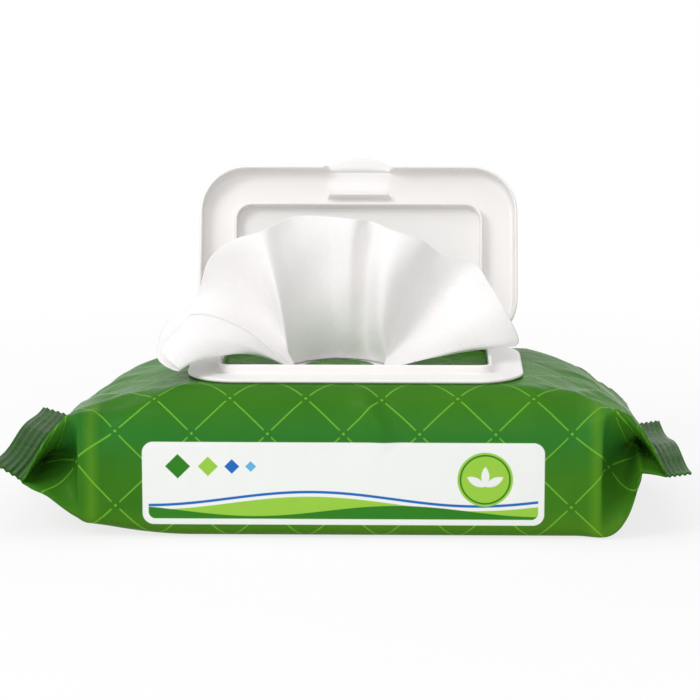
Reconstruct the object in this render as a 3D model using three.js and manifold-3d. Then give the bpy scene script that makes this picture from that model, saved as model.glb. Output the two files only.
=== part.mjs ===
// A pack of wet wipes. A film pouch with tucked, crimped ends holds a stack of folded cloths.
// A flip-top lid on a base frame is stuck over the slot in the film, and the next cloth is
// pulled up through the slot. The lid is drawn open.
// Millimetres. The origin is the middle of the underside, +X runs along the pack,
// +Y goes towards the lid's hinge and +Z is up.
import * as THREE from "three";
import { mergeVertices } from "three/addons/utils/BufferGeometryUtils.js";
import Module from "manifold-3d";

const wasm = await Module();
wasm.setup();

// Gap left between two pieces that touch
const SEAT = 0.3;

// Cloths
const CLOTH_WIDTH = 203; // along the pack
const CLOTH_LENGTH = 305; // before folding
const CLOTH_PANELS = 3; // panels that lie on each other after folding
const CLOTH_THICKNESS = 0.4;
const CLOTH_COUNT = 47; // still in the stack

// Pouch
const FILM = 0.4; // real film is thinner
const FOLD_BULGE = 1.7; // the cloths' round folds stand out this far past the flat panels
const HEADROOM = 2.2; // room between the stack and the film over it
const TOP_EDGE_RADIUS = 20;
const BOTTOM_EDGE_RADIUS = 6;
const TOP_MARGIN = 1; // the top is level this far past the lid
const BOTTOM_ROUNDING = 6.5; // the underside starts to rise this far before the stack ends
const TUCK_GAP = 1.5; // from the stack to the upright fold where the side starts to turn in
const TUCK_DEPTH = 26; // how far a side turns in at the end
const TUCK_LENGTH = 18; // from the upright fold to where the tuck is deepest
const FIN_GAP = 3; // from the deepest tuck to the fin
const FIN_WIDTH = 11.5;
const FIN_THICKNESS = 1;
const FIN_LEVEL = 25; // height of the fin where it starts
const FIN_RISE = 3; // lift of the fin's outer edge
const FIN_INSET = 1.5; // fin's ends stand this far back from the pouch's sides
const STEADY_SLOPE = 0.6; // share of the top's fall that is an even slope

// Slot in the film, a half ring with two straight legs to the front
const SLOT_X = -3;
const SLOT_Y = 0;
const SLOT_RADIUS = 19; // middle line
const SLOT_WIDTH = 9;
const SLOT_LEG = 14;

// Lid and base, one outline for both
const LID_X = 4; // the lid sits off the pack's middle
const LID_Y = 1.5;
const LID_WIDTH = 136;
const LID_DEPTH = 78;
const LID_CORNER = 20;
const ADHESIVE = 0.4;
const ADHESIVE_MARGIN = 1.5; // glue stops short of both edges of the base
const FLANGE = 1.3;
const WINDOW_WIDTH = 108;
const WINDOW_FRONT = 15; // from the base's front edge
const WINDOW_REAR = 6; // from the base's rear edge
const WINDOW_CORNER = 4;
const UPSTAND_WALL = 1.6;
const UPSTAND_HEIGHT = 3.4;
const LID_WALL = 1.2;
const LID_SKIRT = 7; // depth of the lid's inside
const LID_EDGE = 1.5; // rounding of the lid's outer edge
const LID_CLEARANCE = 0.2; // closed lid over the flange
const RING_CLEARANCE = 0.8; // closed lid's ring inside the upstand
const RING_HEIGHT = 5;
const LATCH_WIDTH = 26;
const LATCH_HEIGHT = 4.5;
const LATCH_CLEARANCE = 0.8; // closed latch in front of the upstand
const TAB_WIDTH = 27;
const TAB_REACH = 4.3;
const TAB_FLOOR = 2.4; // skirt height left at the tab
const HINGE_GAP = 0.3; // from the hinge axis to the edges it joins
const LID_OPEN = 114; // degrees from closed, as drawn

// Pulled cloth
const FAN_LENGTH = 60;
const FAN_ANGLE = 74; // degrees from upright to each side
const FAN_THICKNESS = 0.8;
const FAN_PLEATS = 3;
const FAN_PLEAT_DEPTH = 4;
const FAN_Y = 6;
const FAN_END = 12; // degrees of the half ring left free at each end

const stackDepth = CLOTH_LENGTH / CLOTH_PANELS;
const layers = CLOTH_PANELS * CLOTH_THICKNESS;
const stackBottom = FILM + SEAT;
const stackTop = stackBottom + CLOTH_COUNT * layers;
const pouchTop = stackTop + HEADROOM + FILM;
const pouchHalf = stackDepth / 2 + FOLD_BULGE + SEAT + FILM;
const stackEnd = CLOTH_WIDTH / 2;
const cavityEnd = stackEnd + SEAT;
const tuckStart = stackEnd + TUCK_GAP;
const tuckEnd = tuckStart + TUCK_LENGTH;
const finStart = tuckEnd + FIN_GAP;
const finEnd = finStart + FIN_WIDTH;
const topShoulder = LID_X + LID_WIDTH / 2 + TOP_MARGIN;
const bottomShoulder = stackEnd - BOTTOM_ROUNDING;

const filmLook = new THREE.MeshStandardMaterial({ color: 0x3f8230, roughness: 0.3, metalness: 0 });
const clothLook = new THREE.MeshStandardMaterial({ color: 0xf2f1ee, roughness: 0.95, metalness: 0 });
const glueLook = new THREE.MeshStandardMaterial({ color: 0xe6e0cf, roughness: 0.5, metalness: 0 });
const plasticLook = new THREE.MeshStandardMaterial({ color: 0xf4f3f1, roughness: 0.4, metalness: 0 });

const group = new THREE.Group();

// Turns a geometry into a solid that can be added to and cut.
function solid(geometry) {
  const bare = new THREE.BufferGeometry();
  bare.setAttribute("position", geometry.getAttribute("position"));
  bare.setIndex(geometry.getIndex());
  const merged = mergeVertices(bare, 1e-4);
  const mesh = new wasm.Mesh({
    numProp: 3,
    vertProperties: new Float32Array(merged.getAttribute("position").array),
    triVerts: new Uint32Array(merged.getIndex().array),
  });
  return new wasm.Manifold(mesh);
}

// Adds a finished solid to a group as one named mesh.
function add(parent, name, shape, material) {
  const made = shape.getMesh();
  const geometry = new THREE.BufferGeometry();
  geometry.setAttribute("position", new THREE.BufferAttribute(made.vertProperties, 3));
  geometry.setIndex(new THREE.BufferAttribute(made.triVerts, 1));
  geometry.computeVertexNormals();
  const mesh = new THREE.Mesh(geometry, material);
  mesh.name = name;
  parent.add(mesh);
}

// Rectangle with round corners, from its middle.
function roundedRectangle(x, y, width, depth, radius) {
  const [left, right] = [x - width / 2, x + width / 2];
  const [front, rear] = [y - depth / 2, y + depth / 2];
  const shape = new THREE.Shape();
  shape.absarc(right - radius, front + radius, radius, -Math.PI / 2, 0);
  shape.absarc(right - radius, rear - radius, radius, 0, Math.PI / 2);
  shape.absarc(left + radius, rear - radius, radius, Math.PI / 2, Math.PI);
  shape.absarc(left + radius, front + radius, radius, Math.PI, 1.5 * Math.PI);
  return shape;
}

// Upright prism of an outline, from one height to another.
function prism(shape, bottom, top) {
  const settings = { depth: top - bottom, bevelEnabled: false, curveSegments: 10 };
  return solid(new THREE.ExtrudeGeometry(shape, settings).translate(0, 0, bottom));
}

// Closed skin through a row of outlines along X, each with the same number of points.
// The outlines run counter-clockwise seen from +X.
function loft(rings) {
  const count = rings[0].length;
  const positions = rings.flat().flatMap((p) => [p.x, p.y, p.z]);
  const index = [];
  for (let i = 0; i + 1 < rings.length; i += 1) {
    for (let j = 0; j < count; j += 1) {
      const a = i * count + j;
      const b = i * count + ((j + 1) % count);
      index.push(a, b, b + count, a, b + count, a + count);
    }
  }
  const flat = (ring) => ring.map((p) => new THREE.Vector2(p.y, p.z));
  const last = (rings.length - 1) * count;
  for (const [a, b, c] of THREE.ShapeUtils.triangulateShape(flat(rings[0]), [])) {
    index.push(a, c, b);
  }
  for (const [a, b, c] of THREE.ShapeUtils.triangulateShape(flat(rings.at(-1)), [])) {
    index.push(last + a, last + b, last + c);
  }
  const geometry = new THREE.BufferGeometry();
  geometry.setAttribute("position", new THREE.Float32BufferAttribute(positions, 3));
  geometry.setIndex(index);
  return solid(geometry);
}

// How far x has gone from one distance to another, from 0 to 1.
function share(x, from, to) {
  return THREE.MathUtils.clamp((Math.abs(x) - from) / (to - from), 0, 1);
}

// Height of the pouch's top at x: level, then an even slope, then a steep turn to the fin.
function topAt(x) {
  const e = share(x, topShoulder, finStart);
  const fall = STEADY_SLOPE * e + (1 - STEADY_SLOPE) * e ** 6;
  return THREE.MathUtils.lerp(pouchTop, FIN_LEVEL + FIN_THICKNESS / 2, fall) + liftAt(x);
}

// Height of the pouch's underside at x.
function bottomAt(x) {
  const e = share(x, bottomShoulder, finStart);
  return (FIN_LEVEL - FIN_THICKNESS / 2) * e ** 2.2 + liftAt(x);
}

// Lift of the fin at x.
function liftAt(x) {
  return FIN_RISE * share(x, finStart, finEnd);
}

// Outline of the pouch at x, drawn in by a wall at the sides and underside and by a lid at
// the top. Past the upright folds each side turns in at mid height.
function section(x, wall, lid) {
  const top = topAt(x) - lid;
  const bottom = bottomAt(x) + wall;
  const half = pouchHalf - wall - FIN_INSET * share(x, tuckStart, finStart);
  const tuck = TUCK_DEPTH * Math.sqrt(share(x, tuckStart, tuckEnd)) * (1 - share(x, tuckEnd, finStart));
  const upper = Math.min(TOP_EDGE_RADIUS - wall, 0.35 * (top - bottom));
  const lower = Math.min(BOTTOM_EDGE_RADIUS - wall, 0.15 * (top - bottom));
  const side = [];
  for (let i = 0; i <= 4; i += 1) {
    const angle = (i / 4) * (Math.PI / 2);
    const out = half - lower + lower * Math.sin(angle);
    side.push(new THREE.Vector3(x, out, bottom + lower - lower * Math.cos(angle)));
  }
  side.push(new THREE.Vector3(x, half - tuck, (top + bottom) / 2));
  for (let i = 0; i <= 8; i += 1) {
    const angle = (i / 8) * (Math.PI / 2);
    const out = half - upper + upper * Math.cos(angle);
    side.push(new THREE.Vector3(x, out, top - upper + upper * Math.sin(angle)));
  }
  const mirrored = side.map((p) => new THREE.Vector3(p.x, -p.y, p.z));
  return [...side, ...mirrored.reverse()];
}

// Distances along the pack at which the pouch is drawn, evenly spaced in each stretch.
function stations(end, stops) {
  const half = [];
  let from = 0;
  for (const [to, steps] of stops) {
    for (let i = 1; i <= steps; i += 1) {
      half.push(THREE.MathUtils.lerp(from, Math.min(to, end), i / steps));
    }
    from = to;
  }
  return [...half.map((x) => -x).reverse(), ...half];
}

const innerStops = [[topShoulder, 1], [bottomShoulder, 5], [tuckStart, 2]];
const outerStops = [...innerStops, [tuckEnd, 9], [finStart, 2], [finEnd, 1]];

// Outline of the slot: round the outside of the half ring, then back round its inside.
function slotOutline() {
  const [outer, inner] = [SLOT_RADIUS + SLOT_WIDTH / 2, SLOT_RADIUS - SLOT_WIDTH / 2];
  const front = SLOT_Y - SLOT_LEG;
  const shape = new THREE.Shape();
  shape.moveTo(SLOT_X + inner, front);
  shape.absarc(SLOT_X + SLOT_RADIUS, front, SLOT_WIDTH / 2, Math.PI, 2 * Math.PI);
  shape.absarc(SLOT_X, SLOT_Y, outer, 0, Math.PI);
  shape.absarc(SLOT_X - SLOT_RADIUS, front, SLOT_WIDTH / 2, Math.PI, 2 * Math.PI);
  shape.absarc(SLOT_X, SLOT_Y, inner, Math.PI, 0, true);
  return shape;
}

const outside = loft(stations(finEnd, outerStops).map((x) => section(x, 0, 0)));
const hollow = loft(stations(cavityEnd, innerStops).map((x) => section(x, FILM, FILM)));
const slot = prism(slotOutline(), stackTop, pouchTop + FILM);
add(group, "film_pouch", outside.subtract(hollow).subtract(slot), filmLook);

const stackWall = FILM + SEAT;
const stackLid = FILM + HEADROOM;
const stack = loft(stations(stackEnd, innerStops).map((x) => section(x, stackWall, stackLid)));
add(group, "wipe_stack", stack, clothLook);

// Base frame: a flat flange with a raised wall round its window, glued to the film.
const baseFront = LID_Y - LID_DEPTH / 2;
const baseRear = LID_Y + LID_DEPTH / 2;
const windowDepth = LID_DEPTH - WINDOW_FRONT - WINDOW_REAR;
const windowY = (baseFront + WINDOW_FRONT + baseRear - WINDOW_REAR) / 2;
const baseBottom = pouchTop + ADHESIVE;
const flangeTop = baseBottom + FLANGE;

// The window's outline, made larger all round by a margin.
function windowOutline(x, y, margin) {
  const corner = WINDOW_CORNER + margin;
  return roundedRectangle(x, y, WINDOW_WIDTH + 2 * margin, windowDepth + 2 * margin, corner);
}

// The lid's outline, made smaller all round by a margin.
function lidOutline(x, y, margin) {
  return roundedRectangle(x, y, LID_WIDTH - 2 * margin, LID_DEPTH - 2 * margin, LID_CORNER - margin);
}

const opening = prism(windowOutline(LID_X, windowY, 0), pouchTop, flangeTop + 2 * UPSTAND_HEIGHT);
const glue = prism(lidOutline(LID_X, LID_Y, ADHESIVE_MARGIN), pouchTop, baseBottom);
const glueHole = prism(windowOutline(LID_X, windowY, ADHESIVE_MARGIN), stackTop, flangeTop);
add(group, "adhesive_ring", glue.subtract(glueHole), glueLook);

const flange = prism(lidOutline(LID_X, LID_Y, 0), baseBottom, flangeTop);
const upstand = prism(windowOutline(LID_X, windowY, UPSTAND_WALL), baseBottom, flangeTop + UPSTAND_HEIGHT);
add(group, "lid_base", flange.add(upstand).subtract(opening), plasticLook);

// The lid is drawn closed about its hinge axis, then turned open.
const lidGroup = new THREE.Group();
lidGroup.position.set(LID_X, baseRear + HINGE_GAP, flangeTop);
lidGroup.rotation.x = -THREE.MathUtils.degToRad(LID_OPEN);
group.add(lidGroup);

const lidMiddle = -HINGE_GAP - LID_DEPTH / 2;
const lidFront = lidMiddle - LID_DEPTH / 2;
const ringMiddle = lidMiddle + windowY - LID_Y;
const lidInside = LID_CLEARANCE + LID_SKIRT;
const lidTop = lidInside + LID_WALL;

const shellSettings = {
  depth: lidTop - LID_CLEARANCE - LID_EDGE,
  bevelThickness: LID_EDGE,
  bevelSize: LID_EDGE,
  bevelOffset: -LID_EDGE,
  bevelSegments: 3,
  curveSegments: 10,
};
const rounded = solid(
  new THREE.ExtrudeGeometry(lidOutline(0, lidMiddle, 0), shellSettings).translate(0, 0, LID_CLEARANCE),
);
const shellSpace = prism(lidOutline(0, lidMiddle, 0), LID_CLEARANCE, lidTop);
const shell = rounded.intersect(shellSpace);
const inside = prism(lidOutline(0, lidMiddle, LID_WALL), -LID_SKIRT, lidInside);
const ring = prism(
  windowOutline(0, ringMiddle, -RING_CLEARANCE),
  lidInside - RING_HEIGHT,
  lidInside + LID_WALL / 2,
);
const ringHole = prism(
  windowOutline(0, ringMiddle, -RING_CLEARANCE - LID_WALL),
  -LID_SKIRT,
  lidInside,
);

// Catch that hangs just in front of the upstand when the lid is closed.
const latchRear = lidFront + WINDOW_FRONT - UPSTAND_WALL - LATCH_CLEARANCE;
const latch = solid(
  new THREE.BoxGeometry(LATCH_WIDTH, LID_WALL, LATCH_HEIGHT + LID_WALL / 2).translate(
    0,
    latchRear - LID_WALL / 2,
    lidInside - LATCH_HEIGHT / 2 + LID_WALL / 4,
  ),
);

// Thumb tab: the skirt is cut down over its width and a curved lip reaches out.
const cutDown = solid(
  new THREE.BoxGeometry(TAB_WIDTH, 4 * LID_WALL, LID_SKIRT - TAB_FLOOR + LID_CLEARANCE).translate(
    0,
    lidFront,
    (LID_SKIRT - TAB_FLOOR + LID_CLEARANCE) / 2,
  ),
);
const tabRadius = (TAB_WIDTH * TAB_WIDTH) / (8 * TAB_REACH) + TAB_REACH / 2;
const tabHalf = Math.asin(TAB_WIDTH / 2 / tabRadius);
const tabShape = new THREE.Shape();
const tabMiddle = lidFront - TAB_REACH + tabRadius;
tabShape.absarc(0, tabMiddle, tabRadius, -Math.PI / 2 - tabHalf, -Math.PI / 2 + tabHalf);
tabShape.lineTo(TAB_WIDTH / 2, lidFront + LID_WALL / 2);
tabShape.lineTo(-TAB_WIDTH / 2, lidFront + LID_WALL / 2);
const tab = prism(tabShape, lidInside - TAB_FLOOR, lidInside - TAB_FLOOR + LID_WALL);
const lid = shell.subtract(inside).subtract(cutDown).add(ring.subtract(ringHole)).add(latch).add(tab);
add(lidGroup, "lid", lid, plasticLook);

// Point in the middle of the pulled cloth. u goes across from left to right, v goes up from
// the slot. At the slot the cloth follows the half ring, and above it opens to a pleated fan.
function fanPoint(u, v) {
  const turn = THREE.MathUtils.degToRad(THREE.MathUtils.lerp(180 - FAN_END, FAN_END, u));
  const lean = THREE.MathUtils.degToRad(FAN_ANGLE * (2 * u - 1));
  const slotPoint = new THREE.Vector2(
    SLOT_X + SLOT_RADIUS * Math.cos(turn),
    SLOT_Y + SLOT_RADIUS * Math.sin(turn),
  );
  const pleat = FAN_Y + FAN_PLEAT_DEPTH * Math.cos(2 * Math.PI * FAN_PLEATS * u);
  const open = THREE.MathUtils.smoothstep(v, 0.05, 0.7);
  const away = FAN_LENGTH * v;
  const straight = THREE.MathUtils.smoothstep(v, 0, 0.12);
  return new THREE.Vector3(
    slotPoint.x + away * Math.sin(lean) * straight,
    THREE.MathUtils.lerp(slotPoint.y, pleat, open),
    stackTop + layers + away * THREE.MathUtils.lerp(1, Math.cos(lean), straight),
  );
}

// The fan as a closed skin: a front sheet and a rear sheet joined round their border.
function fan() {
  const [across, up] = [48, 14];
  const normal = new THREE.Vector3();
  const step = 1e-3;
  const sheet = (side) => {
    const points = [];
    for (let j = 0; j <= up; j += 1) {
      for (let i = 0; i <= across; i += 1) {
        const [u, v] = [i / across, j / up];
        const alongU = fanPoint(u + step, v).sub(fanPoint(u - step, v));
        const alongV = fanPoint(u, v + step).sub(fanPoint(u, v - step));
        normal.crossVectors(alongU, alongV).normalize();
        points.push(fanPoint(u, v).addScaledVector(normal, (side * FAN_THICKNESS) / 2));
      }
    }
    return points;
  };
  const points = [...sheet(1), ...sheet(-1)];
  const row = across + 1;
  const rear = row * (up + 1);
  const index = [];
  for (let j = 0; j < up; j += 1) {
    for (let i = 0; i < across; i += 1) {
      const a = j * row + i;
      index.push(a, a + 1, a + row + 1, a, a + row + 1, a + row);
      index.push(rear + a, rear + a + row + 1, rear + a + 1, rear + a, rear + a + row, rear + a + row + 1);
    }
  }
  const wall = (a, b) => index.push(b, a, rear + a, b, rear + a, rear + b);
  for (let i = 0; i < across; i += 1) {
    wall(i, i + 1);
    wall(up * row + i + 1, up * row + i);
  }
  for (let j = 0; j < up; j += 1) {
    wall((j + 1) * row, j * row);
    wall(j * row + across, (j + 1) * row + across);
  }
  const geometry = new THREE.BufferGeometry();
  const positions = points.flatMap((p) => [p.x, p.y, p.z]);
  geometry.setAttribute("position", new THREE.Float32BufferAttribute(positions, 3));
  geometry.setIndex(index);
  return solid(geometry);
}

// The rest of the pulled cloth lies folded on the stack, under the film.
const panelWidth = 2 * topShoulder;
const panelDepth = 2 * (pouchHalf - TOP_EDGE_RADIUS);
const panels = prism(
  roundedRectangle(0, 0, panelWidth, panelDepth, WINDOW_CORNER),
  stackTop + SEAT,
  stackTop + SEAT + layers,
);
add(group, "pulled_wipe", fan().add(panels), clothLook);

export default group;
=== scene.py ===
import math

import bpy
import numpy as np
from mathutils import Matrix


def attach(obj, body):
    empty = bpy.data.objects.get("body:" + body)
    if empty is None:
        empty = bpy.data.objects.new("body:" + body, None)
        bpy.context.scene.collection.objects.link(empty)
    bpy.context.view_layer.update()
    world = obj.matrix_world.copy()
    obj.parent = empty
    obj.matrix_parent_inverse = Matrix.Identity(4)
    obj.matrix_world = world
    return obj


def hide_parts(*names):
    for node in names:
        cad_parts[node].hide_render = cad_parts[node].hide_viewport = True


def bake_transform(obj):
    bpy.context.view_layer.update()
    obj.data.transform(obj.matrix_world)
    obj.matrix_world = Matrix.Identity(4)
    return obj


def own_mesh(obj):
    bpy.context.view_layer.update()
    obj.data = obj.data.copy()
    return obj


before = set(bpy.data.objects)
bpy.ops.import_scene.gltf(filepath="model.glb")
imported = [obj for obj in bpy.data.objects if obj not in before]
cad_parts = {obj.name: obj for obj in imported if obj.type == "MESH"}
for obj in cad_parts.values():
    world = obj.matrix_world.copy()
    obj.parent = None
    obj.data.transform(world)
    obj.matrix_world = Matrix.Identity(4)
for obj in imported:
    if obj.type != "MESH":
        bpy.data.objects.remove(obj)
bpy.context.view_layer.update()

# Sizes in millimetres, the same as in the part's source.
POUCH_TOP = 59.7
POUCH_HALF = 53.2
STACK_TOP = 57.1
FIN_LEVEL = 25.0
LID_X, LID_Y = 4.0, 1.5
LID_HALF_WIDTH, LID_HALF_DEPTH, LID_CORNER = 68.0, 39.0, 20.0
BASE_BOTTOM, FLANGE_TOP, UPSTAND_TOP = 60.1, 61.4, 64.8
WINDOW_HALF_WIDTH, WINDOW_HALF_DEPTH, WINDOW_CORNER, WINDOW_Y = 54.0, 28.5, 4.0, 6.0
UPSTAND_WALL = 1.6
HINGE = np.array([LID_X, 40.8, FLANGE_TOP])
HINGE_GAP = 0.3
LID_OPEN = math.radians(114)
SLOT_X, SLOT_Y, SLOT_RADIUS, SLOT_WIDTH, SLOT_LEG = -3.0, 0.0, 19.0, 9.0, 14.0
CLOTH_WIDTH, CLOTH_LENGTH = 203.0, 305.0
LABEL_MIDDLE, LABEL_HALF, LABEL_CORNER = (-0.3, 22.6), (79.8, 16.8), 4.5

# Sizes in millimetres that only the looks have.
FILM_THICKNESS, CLOTH_THICKNESS = 0.12, 0.3
FILM_UNDER = 0.4  # the underside's height above the floor, over the back seam
FIN = (124.0, 125.5)  # where the left and right fins start
FIN_END = 135.5
FRONT_EDGE, REAR_EDGE, EDGE_RISE = 15.5, 15.0, 20.0  # the film's round upper edges
FOOT_RADIUS = 6.0
TUCK_DEPTH = 32.0
STACK_GAP, STACK_SIDE_GAP = 0.7, 1.9  # between the cloths and the film, below and beside
LATTICE_WIDE, LATTICE_HIGH = 30.1, 29.4
LABEL_MARGIN = 2.4
RING_GAP, RING_CORNER = 0.8, 7.5  # the lid's sealing ring, inside the window
TAB_HALF, TAB_REACH = 14.6, 5.4
CATCH_HEIGHT = 4.5
WEB_HALF_LENGTH, WEB_THICKNESS = 46.0, 0.32
FOLD_LEVELS = (59.0, 58.55, 58.1, 57.65)  # heights of the pulled cloth's folded runs under the film
FOLD_FRONT, FOLD_REAR = -40.0, 42.0
FOLD_LEFT, FOLD_RIGHT = -64.0, 76.0

# Inks of the printed label.
PALE_INK, LIME_INK, GREEN_INK = (0.80, 0.81, 0.79), (0.300, 0.560, 0.060), (0.035, 0.200, 0.020)
BLUE_INK, SKY_INK = (0.020, 0.140, 0.480), (0.120, 0.420, 0.700)
DISC_MIDDLE, DISC_RADIUS = (56, 24.5), 11

rng = np.random.default_rng(7)


# Mesh helpers


def smooth(x, low, high):
    """0 below low, 1 above high and an even S between them: 3t squared minus 2t cubed."""
    t = np.clip((x - low) / (high - low), 0, 1)
    return t * t * (3 - 2 * t)


def quads(rows, columns, closed_columns=False, closed_rows=False):
    """Corner numbers of the faces of a grid of points, row after row, joined round where it closes."""
    r = np.arange(rows if closed_rows else rows - 1)[:, None]
    c = np.arange(columns if closed_columns else columns - 1)[None, :]
    below, above = r * columns, (r + 1) % rows * columns
    left, right = c, (c + 1) % columns
    return np.stack([below + left, below + right, above + right, above + left], -1).reshape(-1, 4)


def make_piece(name, points, faces, material, body, replaces=(), uv=None):
    """A smooth mesh from points in millimetres and faces, riding on a body of the frame."""
    mesh = bpy.data.meshes.new(name)
    mesh.from_pydata((points.reshape(-1, 3) * 0.001).tolist(), [], faces)
    mesh.shade_smooth()
    if uv is not None:
        corner = np.empty(len(mesh.loops), np.int64)
        mesh.loops.foreach_get("vertex_index", corner)
        layer = mesh.uv_layers.new(name="laid_flat")
        layer.data.foreach_set("uv", uv.reshape(-1, 2)[corner].astype(np.float32).ravel())
    mesh.materials.append(material)
    piece = bpy.data.objects.new(name, mesh)
    bpy.context.collection.objects.link(piece)
    if body:
        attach(piece, body)
    if replaces:
        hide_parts(*replaces)
    return piece


def thicken(piece, millimetres, offset):
    """Gives a sheet its thickness, to one side or about its middle."""
    modifier = piece.modifiers.new("thickness", "SOLIDIFY")
    modifier.thickness = millimetres * 0.001
    modifier.offset = offset
    modifier.use_rim = True


# Materials


class Field:
    """A number that changes over a surface. Arithmetic on it adds Math nodes to its node tree."""

    def __init__(self, tree, socket):
        self.tree, self.socket = tree, socket

    def math(self, operation, *others, clamp=False):
        node = self.tree.nodes.new("ShaderNodeMath")
        node.operation = operation
        node.use_clamp = clamp
        for place, value in enumerate((self, *others)):
            if isinstance(value, Field):
                self.tree.links.new(value.socket, node.inputs[place])
            else:
                node.inputs[place].default_value = value
        return Field(self.tree, node.outputs[0])

    def __add__(self, other):
        return self.math("ADD", other)

    def __sub__(self, other):
        return self.math("SUBTRACT", other)

    def __mul__(self, other):
        return self.math("MULTIPLY", other)

    def __truediv__(self, other):
        return self.math("DIVIDE", other)

    def __abs__(self):
        return self.math("ABSOLUTE")

    def least(self, other):
        return self.math("MINIMUM", other)

    def most(self, other):
        return self.math("MAXIMUM", other)

    def sine(self):
        return self.math("SINE")

    def length_with(self, other):
        return (self * self + other * other).math("SQRT")

    def to_whole(self):
        """Distance to the nearest whole number."""
        return abs(self - self.math("ROUND"))

    def inside(self, edge):
        """1 where the field is below zero, fading to 0 over a width of edge."""
        return (self * (-1 / edge)).math("ADD", 0.5, clamp=True)


def number(tree, kind, socket="Value", **inputs):
    """A texture or other node's number as a Field, with its inputs set or linked by name."""
    node = tree.nodes.new(kind)
    for key, value in inputs.items():
        place = node.inputs[key.replace("_", " ")]
        if isinstance(value, bpy.types.NodeSocket):
            tree.links.new(value, place)
        else:
            place.default_value = value
    return Field(tree, node.outputs[socket])


def paint(tree, below, above, mask):
    """Colour socket of one colour laid over another where a mask is 1."""
    node = tree.nodes.new("ShaderNodeMix")
    node.data_type = "RGBA"
    for place, value in ((6, below), (7, above)):
        if isinstance(value, bpy.types.NodeSocket):
            tree.links.new(value, node.inputs[place])
        else:
            node.inputs[place].default_value = (*value, 1)
    tree.links.new(mask.socket, node.inputs[0])
    return node.outputs[2]


def new_material(name, **settings):
    """A material and its Principled shader, with the shader's own sockets set."""
    material = bpy.data.materials.new(name)
    material.use_nodes = True
    shader = material.node_tree.nodes["Principled BSDF"]
    for key, value in settings.items():
        shader.inputs[key.replace("_", " ")].default_value = value
    return material, material.node_tree, shader


def bump(tree, shader, height, strength, distance):
    """Turns a height field, in units of distance, into the shader's normal."""
    node = tree.nodes.new("ShaderNodeBump")
    node.inputs["Strength"].default_value = strength
    node.inputs["Distance"].default_value = distance
    tree.links.new(height.socket, node.inputs["Height"])
    tree.links.new(node.outputs["Normal"], shader.inputs["Normal"])


def object_place(tree, scale=(1, 1, 1)):
    """Object coordinates in metres, stretched by scale."""
    place = tree.nodes.new("ShaderNodeTexCoord")
    mapping = tree.nodes.new("ShaderNodeMapping")
    mapping.inputs["Scale"].default_value = scale
    tree.links.new(place.outputs["Object"], mapping.inputs["Vector"])
    return mapping.outputs["Vector"]


def flat_place(tree):
    """The two distances along a piece laid flat, in millimetres, from its own UV map."""
    node = tree.nodes.new("ShaderNodeUVMap")
    node.uv_map = "laid_flat"
    split = tree.nodes.new("ShaderNodeSeparateXYZ")
    tree.links.new(node.outputs["UV"], split.inputs[0])
    return Field(tree, split.outputs["X"]) * 1000, Field(tree, split.outputs["Y"]) * 1000


def grain_group():
    """Soft cloudy grain shared by the film, the plastic and the cloth.

    Two layers of noise, one at Scale and one six times finer, added in the share Fine. Mask goes
    from 0 to 1 about a half."""
    group = bpy.data.node_groups.new("soft_grain", "ShaderNodeTree")
    group.interface.new_socket("Vector", in_out="INPUT", socket_type="NodeSocketVector")
    scale = group.interface.new_socket("Scale", in_out="INPUT", socket_type="NodeSocketFloat")
    scale.default_value = 100
    fine = group.interface.new_socket("Fine", in_out="INPUT", socket_type="NodeSocketFloat")
    fine.default_value = 0.3
    group.interface.new_socket("Mask", in_out="OUTPUT", socket_type="NodeSocketFloat")
    inward = group.nodes.new("NodeGroupInput")
    outward = group.nodes.new("NodeGroupOutput")
    coarse_scale = Field(group, inward.outputs["Scale"])
    share = Field(group, inward.outputs["Fine"])
    layers = [
        number(group, "ShaderNodeTexNoise", "Fac",
               Vector=inward.outputs["Vector"], Scale=size.socket, Detail=2.0)
        for size in (coarse_scale, coarse_scale * 6)
    ]
    mask = layers[0] + (layers[1] - layers[0]) * share
    group.links.new(mask.socket, outward.inputs["Mask"])
    return group


soft_grain = grain_group()


def grain(tree, vector, scale, fine):
    """The shared grain placed in a material."""
    node = tree.nodes.new("ShaderNodeGroup")
    node.node_tree = soft_grain
    tree.links.new(vector, node.inputs["Vector"])
    node.inputs["Scale"].default_value = scale
    node.inputs["Fine"].default_value = fine
    return Field(tree, node.outputs["Mask"])


def rounded_box(u, v, middle, half, corner):
    """Signed distance to a rectangle with round corners."""
    across = abs(u - middle[0]) - (half[0] - corner)
    up = abs(v - middle[1]) - (half[1] - corner)
    outside = across.most(0).length_with(up.most(0))
    return outside + across.most(up).least(0) - corner


def disc(u, v, middle, radius):
    """Signed distance to a circle."""
    return (u - middle[0]).length_with(v - middle[1]) - radius


def leaf(u, v, middle, length, width, turn):
    """Signed distance to a leaf: where two equal circles overlap, turned about its middle."""
    radius = (length**2 + width**2) / (4 * width)
    along = (u - middle[0]) * math.cos(turn) + (v - middle[1]) * math.sin(turn)
    beside = (v - middle[1]) * math.cos(turn) - (u - middle[0]) * math.sin(turn)
    apart = radius - width / 2
    return along.length_with(beside - apart).most(along.length_with(beside + apart)) - radius


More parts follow.
